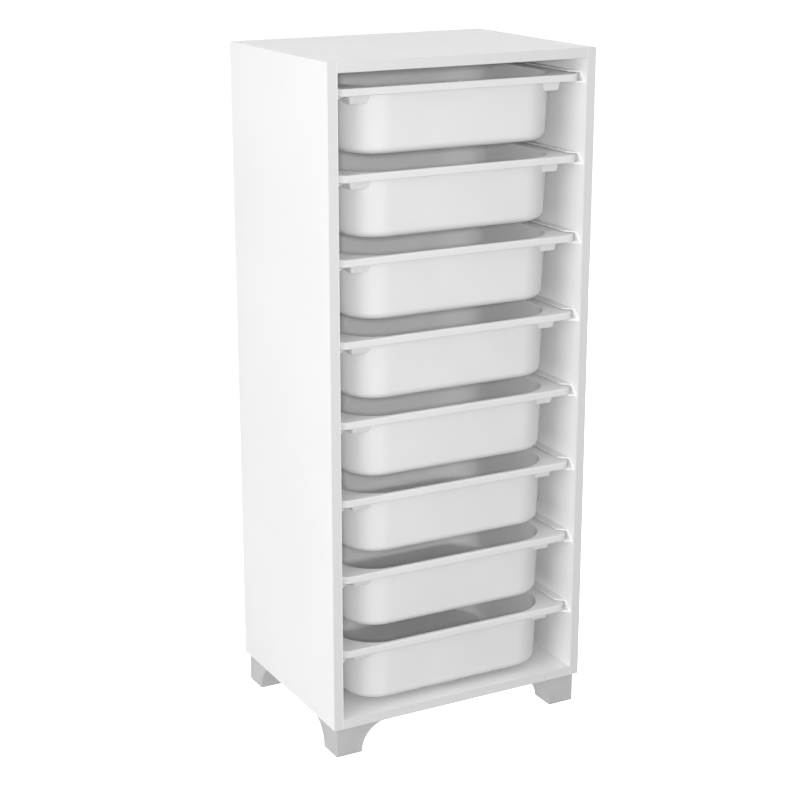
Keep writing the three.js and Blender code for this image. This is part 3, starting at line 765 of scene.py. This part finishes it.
class TrayUnitFinishes(bpy.types.PropertyGroup):
    """Colours of the materials."""

    board: hex_colour("Board", "Laminate on the boards", "F1F1F1")
    edging: hex_colour("Edging", "Plastic band along the front edges", "DADADA")
    back: hex_colour("Back", "Paint on the back panel", "DEDEDE")
    tray: hex_colour("Tray", "Plastic of the trays", "E6E6E6")
    runner: hex_colour("Runner", "Plastic of the runners", "EAEAEA")
    foot: hex_colour("Foot", "Plastic of the feet", "BEBEBE")
    metal: hex_colour("Metal", "Plating on cams, bolts and screws", "C3C7CC")
    dowel: hex_colour("Dowel", "Wood of the dowels", "D8B98A")
    floor: hex_colour("Floor", "Paper under the unit", "FCFCFC")


class TrayUnitStage(bpy.types.PropertyGroup):
    """Camera, light and floor."""

    place: FloatVectorProperty(
        name="Camera", description="Where the camera stands", default=(-1.3997, -2.5625, 1.3918),
        subtype="TRANSLATION", unit="LENGTH",
    )
    heading: angle("Heading", "Turn of the camera to the right of straight ahead", 28.331)
    tilt: angle("Tilt", "How far the camera looks down", 16.613)
    lens: FloatProperty(
        name="Lens", description="Focal length", default=83.15, min=1.0, unit="CAMERA",
    )
    key: power("Key light", "Power of the large light at the left", 42.0)
    fill: power("Fill light", "Power of the light beside the camera", 40.0)
    top: power("Top light", "Power of the light above", 18.0)
    rear: power("Rear light", "Power of the large light behind, at the right", 55.0)
    room: FloatProperty(
        name="Room", description="Brightness of the white room", default=0.42, min=0.0,
    )
    bounces: IntProperty(
        name="Bounces", description="How often light is passed on between the white pieces",
        default=16, min=1,
    )
    floor: length("Floor", "Radius of the flat floor", 14.0)
    sweep: length("Sweep", "Radius of the sweep from the floor up to the wall", 6.0)
    wall: length("Wall", "Height of the wall round the floor", 14.0)
    glow: FloatProperty(
        name="Floor glow", description="Light that the paper gives off", default=0.86, min=0.0,
    )


class TrayUnitSettings(bpy.types.PropertyGroup):
    """All settings of the tray unit."""

    trays: PointerProperty(
        type=TrayUnitTrays, name="Trays", description="Sizes of the moulded trays",
    )
    feet: PointerProperty(
        type=TrayUnitFeet, name="Feet", description="Sizes of the moulded feet",
    )
    finishes: PointerProperty(
        type=TrayUnitFinishes, name="Finishes", description="Colours of the materials",
    )
    stage: PointerProperty(
        type=TrayUnitStage, name="Stage", description="Camera, light and floor",
    )


# Operators

class TRAYUNIT_OT_trays(bpy.types.Operator):
    """Builds each tray as one moulded skin with four guide lugs."""

    bl_idname = "trayunit.trays"
    bl_label = "Trays"

    def execute(self, context):
        p = context.scene.tray_unit.trays
        plastic = moulded_polypropylene(context.scene.tray_unit.finishes.tray)
        for name in TRAYS:
            low, high = (np.array(corner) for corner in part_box(name))
            points, faces, marks = tray_mesh(high - low, p)
            skin = points + [(low[0] + high[0]) / 2, (low[1] + high[1]) / 2, low[2]]
            piece = new_piece(f"moulded_{name}", skin, faces, plastic, f"{name}_body", marks)
            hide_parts(name)
        return {"FINISHED"}


class TRAYUNIT_OT_feet(bpy.types.Operator):
    """Builds each foot as one closed skin with its screw's well and bore."""

    bl_idname = "trayunit.feet"
    bl_label = "Feet"

    def execute(self, context):
        p = context.scene.tray_unit.feet
        plastic = moulded_abs(context.scene.tray_unit.finishes.foot)
        for name in FEET:
            low, high = (np.array(corner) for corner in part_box(name))
            rings = foot_points(high - low, p)
            faces = grid_faces(*rings.shape[:2], closed_rows=True)
            turned = [1.0 if side in name else -1.0 for side in ("left", "front")]
            mirror = np.array([*turned, 1.0])
            corner = np.where(mirror > 0, low, high) * [1, 1, 0]
            if mirror[0] * mirror[1] < 0:
                faces = faces[:, ::-1]
            skin = rings.reshape(-1, 3) * mirror + corner
            piece = new_piece(f"moulded_{name}", skin, faces.tolist(), plastic, "cabinet")
            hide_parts(name)
        return {"FINISHED"}


class TRAYUNIT_OT_boards(bpy.types.Operator):
    """Finishes the boards in white laminate and the back panel in paint."""

    bl_idname = "trayunit.boards"
    bl_label = "Boards"

    def execute(self, context):
        finishes = context.scene.tray_unit.finishes
        dress(BOARDS, white_laminate(finishes.board, finishes.edging))
        dress(["back_panel"], painted_fibreboard(finishes.back))
        return {"FINISHED"}


class TRAYUNIT_OT_runners(bpy.types.Operator):
    """Finishes the runners in white nylon."""

    bl_idname = "trayunit.runners"
    bl_label = "Runners"

    def execute(self, context):
        dress(RUNNERS, moulded_nylon(context.scene.tray_unit.finishes.runner))
        return {"FINISHED"}


class TRAYUNIT_OT_fixings(bpy.types.Operator):
    """Finishes the cams, bolts and screws in zinc and the dowels in beech."""

    bl_idname = "trayunit.fixings"
    bl_label = "Fixings"

    def execute(self, context):
        finishes = context.scene.tray_unit.finishes
        dress(METAL, zinc_plate(finishes.metal))
        dress(DOWELS, turned_beech(finishes.dowel))
        return {"FINISHED"}


def soft_light(name, watts, place, size):
    """A square soft light that faces the middle of the unit and leaves no mirror spot on it."""
    data = bpy.data.lights.new(name, "AREA")
    data.energy, data.shape, data.size = watts, "SQUARE", size
    light = bpy.data.objects.new(name, data)
    bpy.context.scene.collection.objects.link(light)
    light.location = place
    aim = np.mean(CAD_BOX, axis=0) - place
    heading = math.atan2(aim[0], aim[1])
    tilt = math.atan2(aim[2], math.hypot(aim[0], aim[1]))
    light.rotation_euler = Euler((math.pi / 2 + tilt, 0.0, -heading))
    light.visible_glossy = False


class TRAYUNIT_OT_stage(bpy.types.Operator):
    """Sets up the floor, the soft light and the camera."""

    bl_idname = "trayunit.stage"
    bl_label = "Stage"

    def execute(self, context):
        scene, p = context.scene, context.scene.tray_unit.stage
        paper = studio_paper(scene.tray_unit.finishes.floor, p.glow)
        floor = new_object("studio_floor", *floor_grid(p), paper)
        # The glowing paper is white behind the unit and doesn't light it
        floor.visible_diffuse = False

        for name, setting, place, size in LIGHTS:
            soft_light(name, getattr(p, setting), place, size)

        world = bpy.data.worlds.new("white_room")
        world.use_nodes = True
        room = world.node_tree.nodes["Background"]
        room.inputs["Color"].default_value = (1.0, 1.0, 1.0, 1.0)
        room.inputs["Strength"].default_value = p.room
        scene.world = world
        scene.cycles.max_bounces = scene.cycles.diffuse_bounces = p.bounces

        data = bpy.data.cameras.new("photo_camera")
        data.sensor_width, data.lens = SENSOR_WIDTH, p.lens
        camera = bpy.data.objects.new("photo_camera", data)
        scene.collection.objects.link(camera)
        camera.location = p.place
        camera.rotation_euler = Euler((math.pi / 2 - p.tilt, 0.0, -p.heading))
        scene.camera = camera
        scene.view_settings.view_transform = "Standard"
        return {"FINISHED"}


class TRAYUNIT_PT_panel(bpy.types.Panel):
    """Lists the operators of the tray unit."""

    bl_idname = "TRAYUNIT_PT_panel"
    bl_label = "Tray unit"
    bl_space_type = "VIEW_3D"
    bl_region_type = "UI"
    bl_category = "Tray unit"

    def draw(self, context):
        for operator in OPERATORS:
            self.layout.operator(operator.bl_idname)


OPERATORS = (
    TRAYUNIT_OT_trays, TRAYUNIT_OT_feet, TRAYUNIT_OT_boards, TRAYUNIT_OT_runners,
    TRAYUNIT_OT_fixings, TRAYUNIT_OT_stage,
)
CLASSES = (
    TrayUnitTrays, TrayUnitFeet, TrayUnitFinishes, TrayUnitStage, TrayUnitSettings,
    *OPERATORS, TRAYUNIT_PT_panel,
)


def register():
    """Registers the classes and hangs the settings on the scene."""
    for item in CLASSES:
        bpy.utils.register_class(item)
    bpy.types.Scene.tray_unit = PointerProperty(type=TrayUnitSettings)


def unregister():
    """Takes the settings and the classes away again."""
    del bpy.types.Scene.tray_unit
    for item in reversed(CLASSES):
        bpy.utils.unregister_class(item)


def main():
    """Builds the unit and its stage."""
    register()
    bpy.ops.trayunit.trays()
    bpy.ops.trayunit.feet()
    bpy.ops.trayunit.boards()
    bpy.ops.trayunit.runners()
    bpy.ops.trayunit.fixings()
    bpy.ops.trayunit.stage()


if __name__ == "__main__":
    main()
